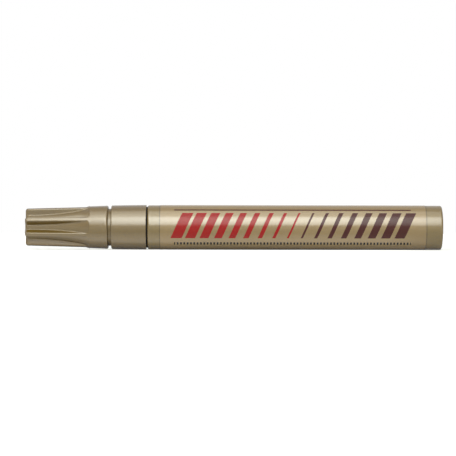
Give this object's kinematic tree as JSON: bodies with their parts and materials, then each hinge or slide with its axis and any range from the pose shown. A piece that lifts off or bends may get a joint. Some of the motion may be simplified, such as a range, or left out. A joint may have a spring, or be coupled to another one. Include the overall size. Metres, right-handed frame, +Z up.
{
  "type": "paint marker",
  "caption": "Capped paint marker: fluted push-on cap over a pump-valve nib, tapered collar, and an aluminium barrel in a printed film with a loose mixing ball.",
  "frame": {"origin": "on the marker's axis, half way along the capped marker", "axes": "+X along the axis from the cap's closed end to the barrel's tail, +Z up with the marker lying on its side"},
  "size_m": [0.1378, 0.0148, 0.0148],
  "materials": {
    "cap_plastic": "satin gold lacquer on moulded polypropylene",
    "collar_plastic": "satin gold lacquer on moulded polypropylene",
    "barrel_lacquer": "satin gold lacquer on drawn aluminium",
    "film_print": null,
    "liner_plastic": "natural polyethylene",
    "nib_fibre": "bonded acrylic fibre",
    "valve_plastic": "natural polypropylene",
    "seal_rubber": "matte black",
    "spring_steel": "drawn stainless wire",
    "ball_steel": "polished steel"
  },
  "bodies": {
    "barrel_body": {"barrel": "barrel_lacquer", "label_film": "film_print", "barrel_seal": "seal_rubber", "front_section": "collar_plastic", "valve_seat": "seal_rubber", "valve_cage": "valve_plastic"},
    "cap": {"cap_shell": "cap_plastic", "inner_cap": "liner_plastic"},
    "pump": {"nib": "nib_fibre", "valve_stem": "valve_plastic", "valve_spring": "spring_steel"},
    "ball": {"mixing_ball": "ball_steel"}
  },
  "joints": [
    {"name": "cap_pull", "type": "slide", "parent": "barrel_body", "child": "cap", "axis": [-1, 0, 0], "range_m": [0, 0.035]},
    {"name": "nib_press", "type": "slide", "parent": "barrel_body", "child": "pump", "axis": [1, 0, 0], "range_m": [0, 0.0018], "stiffness_N_per_m": 800, "deforming": ["valve_spring"]},
    {"name": "ball_roll", "type": "slide", "parent": "barrel_body", "child": "ball", "axis": [1, 0, 0], "range_m": [-0.041, 0.041]}
  ]
}
